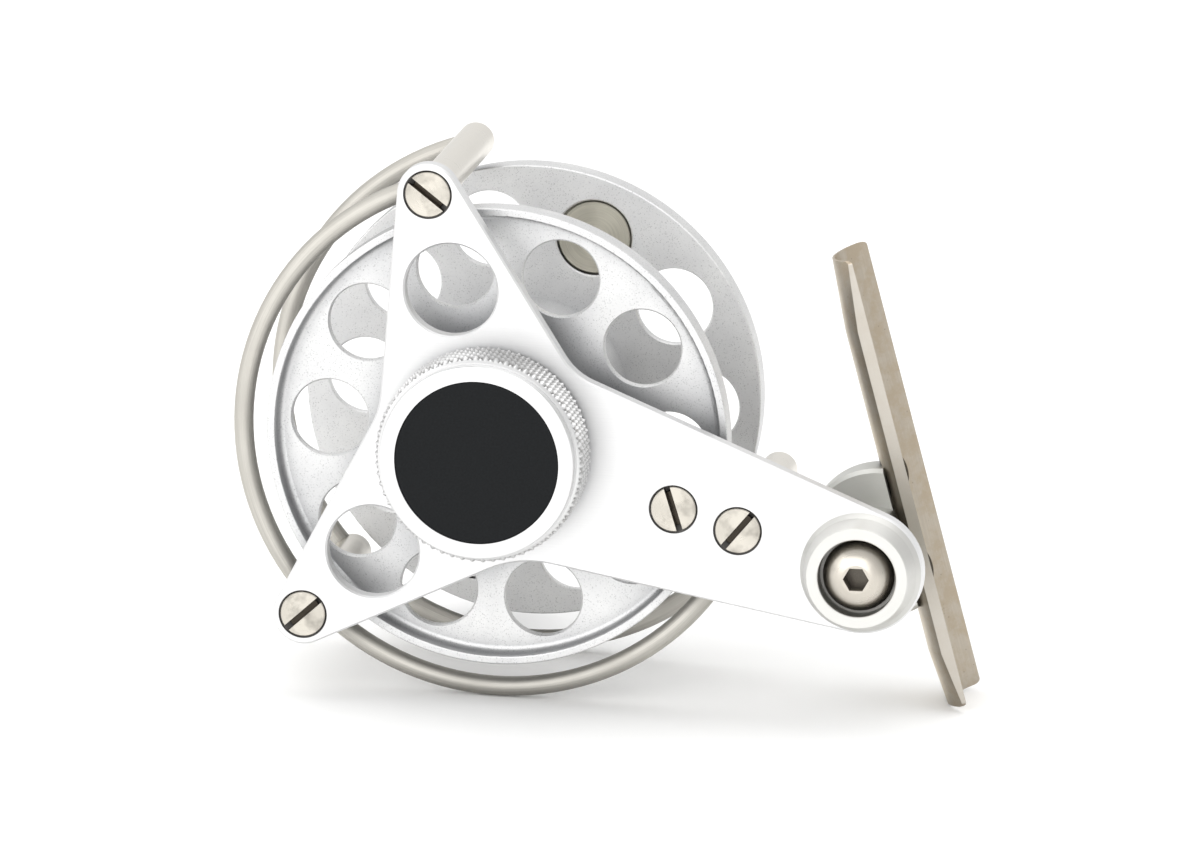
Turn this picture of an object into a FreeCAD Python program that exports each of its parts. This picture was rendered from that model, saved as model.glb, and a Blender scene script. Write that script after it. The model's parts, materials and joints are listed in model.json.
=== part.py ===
"""Small trout fly reel with a three-arm frame, an open ported spool and a disc drag.

Millimetres. The spool turns about the Y axis, +Z is up and +X points along the frame's long
arm towards the rod. While the pieces are made, the spool's axis is at x = z = 0 and the front
of the frame plate is at y = 0; export() then stands the reel on the XY plane.
"""
import FreeCAD, Part
import math
import os

V = FreeCAD.Vector
Y_AXIS = V(0, 1, 0)

# Frame plate: a hub with two short arms and one long arm
PLATE_T = 2.0
SHORT_ARMS = (104.5, 224.5)          # degrees, counter-clockwise from +X seen from the front
LONG_ARM = 344.4
HUB_R = 15.05
SHORT_TIP_R = 4.1
LONG_TIP_R = 8.3
LONG_ARM_HUB_R = 13.8
LONG_ARM_LENGTH = 51.8
CORNER_FILLETS = ((42.9, 8.0), (164.5, 12.0), (286.1, 14.0))   # direction from the hub, radius
PORT_R = 6.2
PORT_DISTANCE = 21.6
EDGE_BREAK = 0.25

# Pillars and line guards
PILLAR_DISTANCE = 34.7
PILLAR_R = 2.45
PILLAR_END_Y = 34.8
WIRE_R = 1.3
FRONT_GUARD_Y = 8.3
REAR_GUARD_Y = 33.2
GUARD_ARC = 240.0

# Slotted countersunk screws of the plate
SCREW_HEAD_R = 3.05
SCREW_SHANK_R = 1.45
SCREW_RIM = 0.3
SCREW_HEAD_H = 1.75
SCREW_RING = 0.2                     # open ring round the head
SLOT_W = 0.85
SLOT_DEPTH = 1.0
PAWL_DISTANCE = 25.75

# Turned cup in the long arm's end, and the pivot bolt
COLLAR_SPIGOT_R = 5.6
COLLAR_FRONT_Y = -3.4
COLLAR_FACE_R = 6.75
COLLAR_FOOT_R = 7.5
COLLAR_STEP_Y = -0.7
HEAD_SEAT_Y = -1.0
HEAD_POCKET_R = 5.2
BOLT_R = 2.5
BOLT_HEAD_R = 4.75
BOLT_HEAD_H = 2.9
BOLT_HEAD_RIM = 0.5
BOLT_FACE_R = 1.9
BOLT_END_Y = 13.2
TAPPED_TO_Y = 13.8
SOCKET_ACROSS = 3.0
SOCKET_FLOOR = 0.6                   # metal left between the socket and the head's seat

# Spool
SPOOL_R = 31.0
RIM_IN_R = 29.9
WEB_T = 1.2
FRONT_RIM_Y = 5.4
FRONT_FACE_Y = 8.9                   # line side of the front flange
REAR_FACE_Y = 32.4                   # line side of the rear flange
REAR_RIM_Y = 35.9
ARBOR_R = 12.9
ARBOR_IN_R = 11.5
HOLE_COUNT = 10
HOLE_R = 5.15
HOLE_CIRCLE_R = 22.9
FIRST_HOLE = 33.9
COUNTERWEIGHT_HOLE = 1
HANDLE_HOLE = 6
PLUG_RIM_R = 5.95                    # rim of the plugs in those two holes
FLANGE_BORE_R = 3.3
REAR_BORE_R = 4.2
FLANGE_SCREW_CIRCLE_R = 8.5
FLANGE_SCREW_COUNT = 4
FLANGE_SCREW_HEAD_R = 1.9
FLANGE_SCREW_R = 0.95

# Spindle and bearings
SPINDLE_R = 2.0
JOURNAL_R = 2.5
BEARING_R = 4.5
BEARING_W = 4.0
SPINDLE_REAR_Y = REAR_FACE_Y
SPINDLE_FRONT_Y = -6.65
RUNNING = 0.05                       # radial running clearance

# Drag
KNOB_R = 13.8
KNOB_BACK_Y = -0.5
KNURL_FRONT_Y = -6.3
KNURL_BACK_Y = -1.2
KNOB_STEP_Y = -7.5
KNOB_SHOULDER_R = 13.24
KNOB_FRONT_Y = -8.9
KNOB_RING_R = 12.93
INSET_R = 10.93
INSET_FLOOR_Y = -7.8
DRAG_PIN_CIRCLE_R = 8.6
DRAG_PIN_R = 1.0
DRAG_THREAD_R = 6.5
BRAKE_R = 11.4
BRAKE_FRONT_Y = 6.5
FOLLOWER_FRONT_Y = -4.3
FOLLOWER_BACK_Y = -2.5
PRESSURE_FRONT_Y = 3.2
CORK_FRONT_Y = 4.7
CORK_BACK_Y = 6.2

# Click gear and pawl
GEAR_TEETH = 36
GEAR_ROOT_R = 13.1
GEAR_CREST_R = 13.9
GEAR_FRONT_Y = 3.0
GEAR_BACK_Y = 4.6
GEAR_BORE_R = 12.6
GEAR_SHOULDER_R = 13.4
GEAR_RING_IN_R = 11.9
PAWL_TOOTH = 25.0                    # degrees from the long arm to the pawl's tooth
POST_TOP_Y = 5.2
POST_R = 1.8

# Handle
HANDLE_POST_R = 1.75
HANDLE_SEAT_Y = 34.7
HANDLE_END_Y = 57.0

# Foot
FOOT_TILT = 15.8                     # degrees between the foot's face and the vertical
FOOT_Y = 20.6
FOOT_SEAT_R = 7.6
FOOT_T = 1.0
FOOT_HALF_W = 6.25
FOOT_LOW = -23.8
FOOT_HIGH = 38.3
FOOT_SEAT_DEPTH = 3.05               # from the pivot bolt's axis to the middle of the seat
FOOT_LOW_TAPER = 7.6
FOOT_HIGH_TAPER = 9.7
FOOT_TIP_T = 0.3
FOOT_CORNER_R = 0.6
FOOT_SCREW_SPACING = 13.4
FOOT_SCREW_HEAD_R = 2.75
FOOT_SCREW_SUNK = 0.1                # head below the middle of the seat
FOOT_SINK_R = 4.3                   # mouth of the countersink
FOOT_SCREW_R = 1.45
FOOT_SCREW_LENGTH = 4.6
ROD_AXIS_OUT = FOOT_SEAT_DEPTH + FOOT_SEAT_R
FOOT_BACK_R = FOOT_SEAT_R + FOOT_T
BOSS_R = 10.15
BOSS_FRONT_Y = 15.6
BOSS_STEP_Y = 20.4
BOSS_BACK_Y = 26.6
BOSS_REAR_R = 8.4
BOSS_FLAT = 3.0
NECK_R = 5.0
WASHER_FRONT_Y = 2.05
WASHER_BACK_Y = 2.65


def at(distance, angle, y=0.0):
    """Point at a distance and a direction (degrees) from the spool's axis."""
    a = math.radians(angle)
    return V(distance * math.cos(a), y, distance * math.sin(a))


def rod(centre, radius, y0, y1):
    """Cylinder along Y about the point centre."""
    return Part.makeCylinder(radius, y1 - y0, V(centre.x, y0, centre.z), Y_AXIS)


def turned(centre, profile):
    """Solid of revolution along Y about centre, from (radius, y) corners."""
    points = [V(centre.x + r, y, centre.z) for r, y in profile]
    face = Part.Face(Part.makePolygon(points + points[:1]))
    return face.revolve(V(centre.x, 0, centre.z), Y_AXIS, 360)


def tube(centre, r_in, r_out, y0, y1):
    return turned(centre, [(r_in, y0), (r_out, y0), (r_out, y1), (r_in, y1)])


def circles(shape, radius, y):
    """Circular edges of one radius at one height along Y."""
    found = []
    for edge in shape.Edges:
        curve = edge.Curve
        if isinstance(curve, Part.Circle) and abs(curve.Radius - radius) < 1e-3:
            if abs(curve.Center.y - y) < 1e-3 and abs(abs(curve.Axis.y) - 1) < 1e-6:
                found.append(edge)
    return found


def prism(points, y0, y1):
    """Straight prism along Y over a closed outline of (x, z) points."""
    corners = [V(x, y0, z) for x, z in points]
    return Part.Face(Part.makePolygon(corners + corners[:1])).extrude(V(0, y1 - y0, 0))


def box_across(centre, angle, length, width, y0, y1):
    """Bar through centre, its length at an angle in the XZ plane."""
    bar = Part.makeBox(length, y1 - y0, width, V(-length / 2, y0, -width / 2))
    bar.rotate(V(0, 0, 0), Y_AXIS, -angle)
    bar.translate(V(centre.x, 0, centre.z))
    return bar


HUB = V(0, 0, 0)
ARMS = SHORT_ARMS + (LONG_ARM,)
BOLT = at(LONG_ARM_LENGTH, LONG_ARM)
PAWL_POST = at(PAWL_DISTANCE, LONG_ARM)


# ---------------------------------------------------------------- frame

def arm_outline(angle, length, tip_r, hub_r):
    """Face bounded by the tip circle, the hub circle and their two outer tangents."""
    tip = at(length, angle)
    spread = math.degrees(math.acos((hub_r - tip_r) / length))
    left, right = angle + spread, angle - spread
    edges = [
        Part.makeLine(at(hub_r, left), tip + at(tip_r, left)),
        Part.Arc(tip + at(tip_r, left), tip + at(tip_r, angle), tip + at(tip_r, right)).toShape(),
        Part.makeLine(tip + at(tip_r, right), at(hub_r, right)),
        Part.Arc(at(hub_r, right), at(hub_r, angle + 180), at(hub_r, left)).toShape(),
    ]
    return Part.Face(Part.Wire(edges))


def upright_edge_near(shape, angle):
    """The edge along Y that stands nearest to one direction, close to the hub."""
    target = at(HUB_R, angle)
    upright = [e for e in shape.Edges if len(e.Vertexes) == 2 and abs(e.Length - PLATE_T) < 1e-3]
    return min(upright, key=lambda e: math.hypot(e.CenterOfMass.x - target.x,
                                                 e.CenterOfMass.z - target.z))


def plate_blank():
    blank = None
    for angle in SHORT_ARMS:
        arm = arm_outline(angle, PILLAR_DISTANCE, SHORT_TIP_R, HUB_R).extrude(V(0, PLATE_T, 0))
        blank = arm if blank is None else blank.fuse(arm)
    long_arm = arm_outline(LONG_ARM, LONG_ARM_LENGTH, LONG_TIP_R, LONG_ARM_HUB_R)
    blank = blank.fuse(long_arm.extrude(V(0, PLATE_T, 0))).removeSplitter()
    for angle, radius in CORNER_FILLETS:
        blank = blank.makeFillet(radius, [upright_edge_near(blank, angle)])
    for angle in SHORT_ARMS:
        blank = blank.cut(rod(at(PORT_DISTANCE, angle), PORT_R, -1, PLATE_T + 1))
    front_edges = [e for e in blank.Edges if all(abs(v.Y) < 1e-6 for v in e.Vertexes)]
    return blank.makeChamfer(EDGE_BREAK, front_edges)


def screw_seat(centre):
    """Countersunk hole in the plate, a hair wider than the screw's head."""
    gap = 0.09
    rim_r = SCREW_HEAD_R + SCREW_RING
    return turned(centre, [(0, -1), (rim_r, -1), (rim_r, SCREW_RIM + gap + 0.1),
                           (SCREW_HEAD_R + gap, SCREW_RIM + gap + 0.1),
                           (SCREW_SHANK_R + gap, SCREW_HEAD_H + gap), (SCREW_SHANK_R + gap, 3), (0, 3)])


def slotted_screw(centre, length, slot_angle):
    screw = turned(centre, [(0, 0), (SCREW_HEAD_R - 0.12, 0), (SCREW_HEAD_R, 0.12),
                            (SCREW_HEAD_R, SCREW_RIM), (SCREW_SHANK_R, SCREW_HEAD_H),
                            (SCREW_SHANK_R, length), (0, length)])
    return screw.cut(box_across(centre, slot_angle, 8, SLOT_W, -1, SLOT_DEPTH))


def frame_plate():
    plate = plate_blank()
    for angle in ARMS:
        plate = plate.cut(screw_seat(at(PILLAR_DISTANCE, angle)))
    plate = plate.cut(screw_seat(PAWL_POST))
    plate = plate.cut(rod(BOLT, COLLAR_SPIGOT_R, -1, PLATE_T + 1))
    plate = plate.cut(rod(HUB, JOURNAL_R, -1, PLATE_T + 1))
    for angle in ARMS:
        plate = plate.cut(rod(at(DRAG_PIN_CIRCLE_R, angle), DRAG_PIN_R + RUNNING, -1, PLATE_T + 1))
    return plate


def arm_end_collar():
    """Turned cup in the arm's end that takes the pivot bolt's head."""
    bore = BOLT_R + RUNNING
    edge = 0.08
    return turned(BOLT, [(bore, HEAD_SEAT_Y), (HEAD_POCKET_R, HEAD_SEAT_Y),
                         (HEAD_POCKET_R, COLLAR_FRONT_Y + edge),
                         (HEAD_POCKET_R + edge, COLLAR_FRONT_Y),
                         (COLLAR_FACE_R - edge, COLLAR_FRONT_Y),
                         (COLLAR_FACE_R, COLLAR_FRONT_Y + edge),
                         (COLLAR_FOOT_R, COLLAR_STEP_Y), (LONG_TIP_R - EDGE_BREAK, 0),
                         (COLLAR_SPIGOT_R, 0),
                         (COLLAR_SPIGOT_R, PLATE_T), (bore, PLATE_T)])


def guard_sweep(y, wire_r):
    """Round wire bent about the spool's axis, from the first pillar to the last."""
    start = at(PILLAR_DISTANCE, SHORT_ARMS[0], y)
    circle = Part.makeCircle(wire_r, start, at(1, SHORT_ARMS[0] + 90))
    return Part.Face(Part.Wire(circle)).revolve(V(0, y, 0), V(0, -1, 0), GUARD_ARC)


def pillar(angle):
    centre = at(PILLAR_DISTANCE, angle)
    crown = 0.5
    post = turned(centre, [(0, PLATE_T), (PILLAR_R, PLATE_T), (PILLAR_R, PILLAR_END_Y - crown),
                           (PILLAR_R - 0.15, PILLAR_END_Y - 0.15), (PILLAR_R - crown, PILLAR_END_Y),
                           (0, PILLAR_END_Y)])
    post = post.cut(rod(centre, SCREW_SHANK_R, PLATE_T - 1, 10.5))
    for y in (FRONT_GUARD_Y, REAR_GUARD_Y):
        post = post.cut(guard_sweep(y, WIRE_R + 0.01))
    return post


def pillar_screws():
    slots = (-37, 43, 51)
    screws = [slotted_screw(at(PILLAR_DISTANCE, angle), 6.8, slot)
              for angle, slot in zip(ARMS, slots)]
    return Part.makeCompound(screws)


# ---------------------------------------------------------------- click pawl

def pawl_post():
    post = turned(PAWL_POST, [(0, PLATE_T), (2.8, PLATE_T), (2.8, 2.8), (POST_R, 2.8),
                              (POST_R, 4.5), (1.4, 4.5), (1.4, 4.95), (POST_R, 4.95),
                              (POST_R, POST_TOP_Y), (0, POST_TOP_Y)])
    return post.cut(rod(PAWL_POST, SCREW_SHANK_R - 0.35, PLATE_T - 1, 4.2))


def pawl_screw():
    screw = slotted_screw(PAWL_POST, 4.0, -72)
    thread = tube(PAWL_POST, SCREW_SHANK_R - 0.35, 3, PLATE_T, 5)
    return screw.cut(thread)


def pawl_clip():
    """Open spring clip in the post's groove."""
    clip = tube(PAWL_POST, 1.4, 2.9, 4.5, 4.95)
    mouth = PAWL_POST + at(2, LONG_ARM)
    return clip.cut(box_across(mouth, LONG_ARM, 4, 2.0, 4, 6))


def on_arm(along, across):
    """(x, z) of a place along the long arm and to its upper side."""
    a = math.radians(LONG_ARM)
    return (along * math.cos(a) - across * math.sin(a), along * math.sin(a) + across * math.cos(a))


def beside_tooth(radius, half_width):
    """(x, z) beside the pawl's tooth, at a radius from the hub."""
    point = at(radius, LONG_ARM + PAWL_TOOTH) + at(half_width, LONG_ARM + PAWL_TOOTH + 90)
    return (point.x, point.z)


def click_pawl():
    y0, y1 = 3.1, 4.4
    lever = prism([beside_tooth(GEAR_ROOT_R + 0.2, -0.1), beside_tooth(GEAR_ROOT_R + 0.2, 0.1),
                   beside_tooth(14.6, 1.1), on_arm(26.4, 3.1), on_arm(30.2, 0.9),
                   on_arm(30.2, -1.5), on_arm(24.6, -2.9), beside_tooth(14.6, -1.1)], y0, y1)
    lever = lever.fuse(rod(PAWL_POST, 3.2, y0, y1)).removeSplitter()
    return lever.cut(rod(PAWL_POST, POST_R + RUNNING, 0, 9))


def pawl_spring():
    """Hairpin wire round the arm's pillar, its leg lying beside the pawl's tail."""
    wire_r = 0.3
    y = 3.7
    loop_r = PILLAR_R + wire_r
    centre = at(PILLAR_DISTANCE, LONG_ARM, y)
    start = centre + at(loop_r, LONG_ARM - 90)
    circle = Part.Face(Part.Wire(Part.makeCircle(wire_r, start, at(1, LONG_ARM))))
    loop = circle.revolve(centre, V(0, -1, 0), 270)
    leg = Part.makeCylinder(wire_r, 5.2, start, at(-1, LONG_ARM))
    return loop.fuse(leg)


def click_gear():
    pitch = 360.0 / GEAR_TEETH
    groove = math.degrees(0.21 / GEAR_ROOT_R)
    crest = math.degrees(1.01 / GEAR_CREST_R)
    outline = []
    for k in range(GEAR_TEETH):
        middle = LONG_ARM + PAWL_TOOTH + k * pitch
        for radius, turn in ((GEAR_CREST_R, -crest), (GEAR_ROOT_R, -groove),
                             (GEAR_ROOT_R, groove), (GEAR_CREST_R, crest)):
            point = at(radius, middle + turn)
            outline.append((point.x, point.z))
    return prism(outline, GEAR_FRONT_Y, GEAR_BACK_Y).cut(rod(HUB, GEAR_BORE_R, 0, 9))


# ---------------------------------------------------------------- spool

def hole_places():
    return [at(HOLE_CIRCLE_R, FIRST_HOLE + 360.0 / HOLE_COUNT * k) for k in range(HOLE_COUNT)]


def pierced(flange, y_web):
    """Cut the ring of holes through a flange and break their edges."""
    for centre in hole_places():
        flange = flange.cut(rod(centre, HOLE_R, y_web - 1, y_web + WEB_T + 1))
    edges = circles(flange, HOLE_R, y_web) + circles(flange, HOLE_R, y_web + WEB_T)
    return flange.makeChamfer(0.2, edges)


def front_flange():
    web_front = FRONT_FACE_Y - WEB_T
    flange = turned(HUB, [(FLANGE_BORE_R, web_front), (GEAR_RING_IN_R, web_front),
                          (GEAR_RING_IN_R, GEAR_FRONT_Y + 0.2), (GEAR_BORE_R, GEAR_FRONT_Y + 0.2),
                          (GEAR_BORE_R, GEAR_BACK_Y), (GEAR_SHOULDER_R, GEAR_BACK_Y),
                          (GEAR_SHOULDER_R, web_front), (RIM_IN_R, web_front),
                          (RIM_IN_R, FRONT_RIM_Y), (SPOOL_R, FRONT_RIM_Y),
                          (SPOOL_R, FRONT_FACE_Y), (FLANGE_BORE_R, FRONT_FACE_Y)])
    flange = flange.makeFillet(0.9, circles(flange, RIM_IN_R, web_front))
    flange = flange.makeFillet(0.2, circles(flange, RIM_IN_R, FRONT_RIM_Y)
                               + circles(flange, SPOOL_R, FRONT_RIM_Y)
                               + circles(flange, SPOOL_R, FRONT_FACE_Y))
    return pierced(flange, web_front).cut(flange_screw_seats(BRAKE_FRONT_Y, 1))


def rear_flange():
    web_back = REAR_FACE_Y + WEB_T
    flange = turned(HUB, [(REAR_BORE_R, REAR_FACE_Y), (SPOOL_R, REAR_FACE_Y),
                          (SPOOL_R, REAR_RIM_Y), (RIM_IN_R, REAR_RIM_Y),
                          (RIM_IN_R, web_back), (REAR_BORE_R, web_back)])
    flange = flange.makeFillet(0.9, circles(flange, RIM_IN_R, web_back))
    flange = flange.makeFillet(0.2, circles(flange, RIM_IN_R, REAR_RIM_Y)
                               + circles(flange, SPOOL_R, REAR_RIM_Y)
                               + circles(flange, SPOOL_R, REAR_FACE_Y))
    return pierced(flange, REAR_FACE_Y).cut(flange_screw_seats(web_back, -1))


def flange_screw(centre, y_face, inward, grow=0.0):
    """Countersunk screw of the spool; inward is +1 or -1 along Y."""
    cone = FLANGE_SCREW_HEAD_R - FLANGE_SCREW_R
    depths = [(0, 0.05 - grow * 20), (FLANGE_SCREW_HEAD_R + grow, 0.05 - grow * 20),
              (FLANGE_SCREW_HEAD_R + grow, 0.15), (FLANGE_SCREW_R + grow, 0.15 + cone),
              (FLANGE_SCREW_R + grow, 4.6 + grow), (0, 4.6 + grow)]
    return turned(centre, [(r, y_face + inward * depth) for r, depth in depths])


def flange_screw_places():
    step = 360.0 / FLANGE_SCREW_COUNT
    return [at(FLANGE_SCREW_CIRCLE_R, FIRST_HOLE + step * k) for k in range(FLANGE_SCREW_COUNT)]


def flange_screw_seats(y_face, inward):
    return Part.makeCompound([flange_screw(c, y_face, inward, 0.02) for c in flange_screw_places()])


def flange_screws(y_face, inward):
    """Four screws with a cross-wise driver slot in each head."""
    screws = []
    for centre in flange_screw_places():
        ends = sorted((y_face - inward, y_face + inward * 0.55))
        slot = box_across(centre, FIRST_HOLE, 5, 0.5, ends[0], ends[1])
        screws.append(flange_screw(centre, y_face, inward).cut(slot))
    return Part.makeCompound(screws)


def arbor():
    front_wall = FRONT_FACE_Y + BEARING_W
    rear_wall = REAR_FACE_Y - BEARING_W
    shell = turned(HUB, [(BEARING_R, FRONT_FACE_Y), (ARBOR_R, FRONT_FACE_Y),
                         (ARBOR_R, REAR_FACE_Y), (BEARING_R, REAR_FACE_Y),
                         (BEARING_R, rear_wall), (ARBOR_IN_R, rear_wall),
                         (ARBOR_IN_R, front_wall), (BEARING_R, front_wall)])
    seats = flange_screw_seats(BRAKE_FRONT_Y, 1)
    return shell.cut(seats).cut(flange_screw_seats(REAR_FACE_Y + WEB_T, -1))


def ball_bearing(y0):
    """Shielded bearing: two races with a shield set back between them."""
    bore = SPINDLE_R + 0.02
    y1 = y0 + BEARING_W
    shield = 0.3
    return turned(HUB, [(bore, y0), (2.8, y0), (2.8, y0 + shield), (3.8, y0 + shield),
                        (3.8, y0), (BEARING_R, y0), (BEARING_R, y1), (3.8, y1),
                        (3.8, y1 - shield), (2.8, y1 - shield), (2.8, y1), (bore, y1)])


def brake_disc():
    disc = tube(HUB, FLANGE_BORE_R, BRAKE_R, BRAKE_FRONT_Y, FRONT_FACE_Y - WEB_T)
    return disc.cut(flange_screw_seats(BRAKE_FRONT_Y, 1))


def counterweight():
    """Steel plug that balances the handle, riveted through the opposite hole."""
    centre = hole_places()[COUNTERWEIGHT_HOLE]
    web_back = REAR_FACE_Y + WEB_T
    return turned(centre, [(0, REAR_FACE_Y + 0.15), (4.75, REAR_FACE_Y + 0.15),
                           (4.9, REAR_FACE_Y + 0.3), (4.9, web_back - 0.2),
                           (4.9, web_back), (PLUG_RIM_R, web_back),
                           (PLUG_RIM_R, web_back + 1.6),
                           (PLUG_RIM_R - 0.3, web_back + 1.9), (0, web_back + 1.9)])


# ---------------------------------------------------------------- handle

def handle_centre():
    return hole_places()[HANDLE_HOLE]


def handle_boss():
    """Stepped bush that plugs a flange hole and carries the handle's post."""
    web_back = REAR_FACE_Y + WEB_T
    return turned(handle_centre(), [(HANDLE_POST_R, REAR_FACE_Y + 0.9), (3.0, REAR_FACE_Y + 0.1),
                                    (4.8, REAR_FACE_Y + 0.1), (4.9, REAR_FACE_Y + 0.2),
                                    (4.9, web_back), (PLUG_RIM_R, web_back),
                                    (PLUG_RIM_R, HANDLE_SEAT_Y - 0.3),
                                    (PLUG_RIM_R - 0.3, HANDLE_SEAT_Y),
                                    (HANDLE_POST_R, HANDLE_SEAT_Y)])


def handle_post():
    """Riveted post, tapped at its outer end."""
    post = turned(handle_centre(), [(0, REAR_FACE_Y + 0.1), (2.9, REAR_FACE_Y + 0.1),
                                    (HANDLE_POST_R, REAR_FACE_Y + 0.83),
                                    (HANDLE_POST_R, HANDLE_END_Y - 2.4),
                                    (0, HANDLE_END_Y - 2.4)])
    return post.cut(rod(handle_centre(), 0.9, HANDLE_END_Y - 8, HANDLE_END_Y))


def handle_screw():
    """Slotted cheese-head screw that keeps the handle on its post."""
    seat = HANDLE_END_Y - 2.4
    screw = turned(handle_centre(), [(0, seat - 5), (0.9, seat - 5), (0.9, seat), (2.6, seat),
                                     (2.6, seat + 1.3), (2.4, seat + 1.5), (0, seat + 1.5)])
    return screw.cut(box_across(handle_centre(), 20, 8, 0.6, seat + 0.8, seat + 3))


def handle_knob():
    """Turned grip: narrow at the reel, fullest near its end."""
    c = handle_centre()
    bore = HANDLE_POST_R + RUNNING
    y0 = HANDLE_SEAT_Y + 0.3
    shoulder = V(c.x + 4.3, y0 + 1.0, c.z)
    belly_end = V(c.x + 5.2, HANDLE_END_Y - 1.6, c.z)
    corners = [V(c.x + bore, y0, c.z), V(c.x + 3.9, y0, c.z), shoulder,
               V(c.x + 3.5, y0 + 6.5, c.z), belly_end, V(c.x + 4.0, HANDLE_END_Y, c.z),
               V(c.x + 3.0, HANDLE_END_Y, c.z), V(c.x + 3.0, HANDLE_END_Y - 2.6, c.z),
               V(c.x + bore, HANDLE_END_Y - 2.6, c.z)]
    waist = Part.Arc(shoulder, V(c.x + 3.55, y0 + 4.0, c.z), corners[3])
    belly = Part.Arc(corners[3], V(c.x + 5.0, y0 + 14.0, c.z), belly_end)
    crown = Part.Arc(belly_end, V(c.x + 4.85, HANDLE_END_Y - 0.5, c.z), corners[5])
    edges = [Part.makeLine(corners[0], corners[1]), Part.makeLine(corners[1], shoulder),
             waist.toShape(), belly.toShape(), crown.toShape()]
    for start, end in zip(corners[5:], corners[6:] + corners[:1]):
        edges.append(Part.makeLine(start, end))
    return Part.Face(Part.Wire(edges)).revolve(V(c.x, 0, c.z), Y_AXIS, 360)


# ---------------------------------------------------------------- spindle

def spindle():
    shaft = turned(HUB, [(0, SPINDLE_FRONT_Y), (JOURNAL_R, SPINDLE_FRONT_Y), (JOURNAL_R, PLATE_T),
                         (5.5, PLATE_T), (5.5, 2.8), (SPINDLE_R, 2.8),
                         (SPINDLE_R, SPINDLE_REAR_Y), (0, SPINDLE_REAR_Y)])
    shaft = shaft.cut(rod(HUB, 1.2, SPINDLE_REAR_Y - 9, SPINDLE_REAR_Y + 1))
    return shaft.cut(rod(HUB, 1.2, SPINDLE_FRONT_Y - 1, SPINDLE_FRONT_Y + 5))


def hexagon(across_flats, first_corner, y0, y1):
    """Hexagonal prism about the hub; the first corner's direction is in degrees."""
    corners = [at(across_flats / math.sqrt(3), first_corner + 60 * k) for k in range(6)]
    return prism([(p.x, p.z) for p in corners], y0, y1)


def spindle_nut():
    return hexagon(9.0, 30, -1.8, 0).cut(rod(HUB, JOURNAL_R, -5, 5))


def spool_screw():
    """Coin-slotted screw that keeps the spool on the spindle."""
    head_y = 33.9
    top_y = 36.1
    screw = turned(HUB, [(0, SPINDLE_REAR_Y - 8), (1.2, SPINDLE_REAR_Y - 8),
                         (1.2, SPINDLE_REAR_Y), (2.9, SPINDLE_REAR_Y + 0.05), (2.9, head_y),
                         (5.7, head_y), (6.0, head_y + 0.3), (6.0, top_y - 0.4),
                         (5.6, top_y), (0, top_y)])
    return screw.cut(box_across(HUB, 35, 14, 1.2, top_y - 1.1, top_y + 1))


# ---------------------------------------------------------------- drag

def drag_knob():
    web_y = -6.6
    return turned(HUB, [(JOURNAL_R + 0.04, web_y), (4.3, web_y), (4.3, INSET_FLOOR_Y),
                        (INSET_R + 0.02, INSET_FLOOR_Y), (INSET_R + 0.02, KNOB_FRONT_Y),
                        (KNOB_RING_R - 0.15, KNOB_FRONT_Y), (KNOB_RING_R, KNOB_FRONT_Y + 0.15),
                        (KNOB_RING_R, KNOB_STEP_Y), (KNOB_SHOULDER_R, KNOB_STEP_Y),
                        (KNOB_R, KNURL_FRONT_Y), (KNOB_R, KNURL_BACK_Y),
                        (KNOB_R - 0.45, KNOB_BACK_Y),
                        (11.8, KNOB_BACK_Y), (11.8, -5.2), (DRAG_THREAD_R, -5.2),
                        (DRAG_THREAD_R, -2.1), (JOURNAL_R + 0.04, -2.1)])


def knob_inset():
    return turned(HUB, [(0, INSET_FLOOR_Y), (INSET_R, INSET_FLOOR_Y), (INSET_R, KNOB_FRONT_Y + 0.2),
                        (INSET_R - 0.1, KNOB_FRONT_Y + 0.1), (0, KNOB_FRONT_Y + 0.1)])


def knob_screw():
    """Low-head screw in the spindle's front end that holds the knob on."""
    screw = turned(HUB, [(0, -7.6), (3.7, -7.6), (4.0, -7.4), (4.0, SPINDLE_FRONT_Y),
                         (1.2, SPINDLE_FRONT_Y), (1.2, SPINDLE_FRONT_Y + 4.5),
                         (0, SPINDLE_FRONT_Y + 4.5)])
    return screw.cut(box_across(HUB, 0, 10, 0.8, -8, -7.1))


def drag_follower():
    """Nut inside the knob that cannot turn, so that it moves along the spindle."""
    return tube(HUB, DRAG_THREAD_R + RUNNING, 10.6, FOLLOWER_FRONT_Y, FOLLOWER_BACK_Y)


def drag_pins():
    pins = [rod(at(DRAG_PIN_CIRCLE_R, angle), DRAG_PIN_R, FOLLOWER_BACK_Y, PRESSURE_FRONT_Y)
            for angle in ARMS]
    return Part.makeCompound(pins)


def pressure_plate():
    return tube(HUB, SPINDLE_R + 0.08, BRAKE_R, PRESSURE_FRONT_Y, CORK_FRONT_Y)


def cork_ring():
    return tube(HUB, 5.0, 11.0, CORK_FRONT_Y, CORK_BACK_Y)


# ---------------------------------------------------------------- foot

def foot_point(out, y, along):
    """Place given from the pivot bolt: out towards the rod, y, and along the foot."""
    a = math.radians(FOOT_TILT)
    return V(BOLT.x + out * math.cos(a) - along * math.sin(a), y,
             BOLT.z + out * math.sin(a) + along * math.cos(a))


def foot_direction(out, along):
    a = math.radians(FOOT_TILT)
    return V(out * math.cos(a) - along * math.sin(a), 0, out * math.sin(a) + along * math.cos(a))


def along_rod(radius, low, high):
    """Cylinder about the rod's axis."""
    return Part.makeCylinder(radius, high - low, foot_point(ROD_AXIS_OUT, FOOT_Y, low),
                             foot_direction(0, 1))


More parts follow.
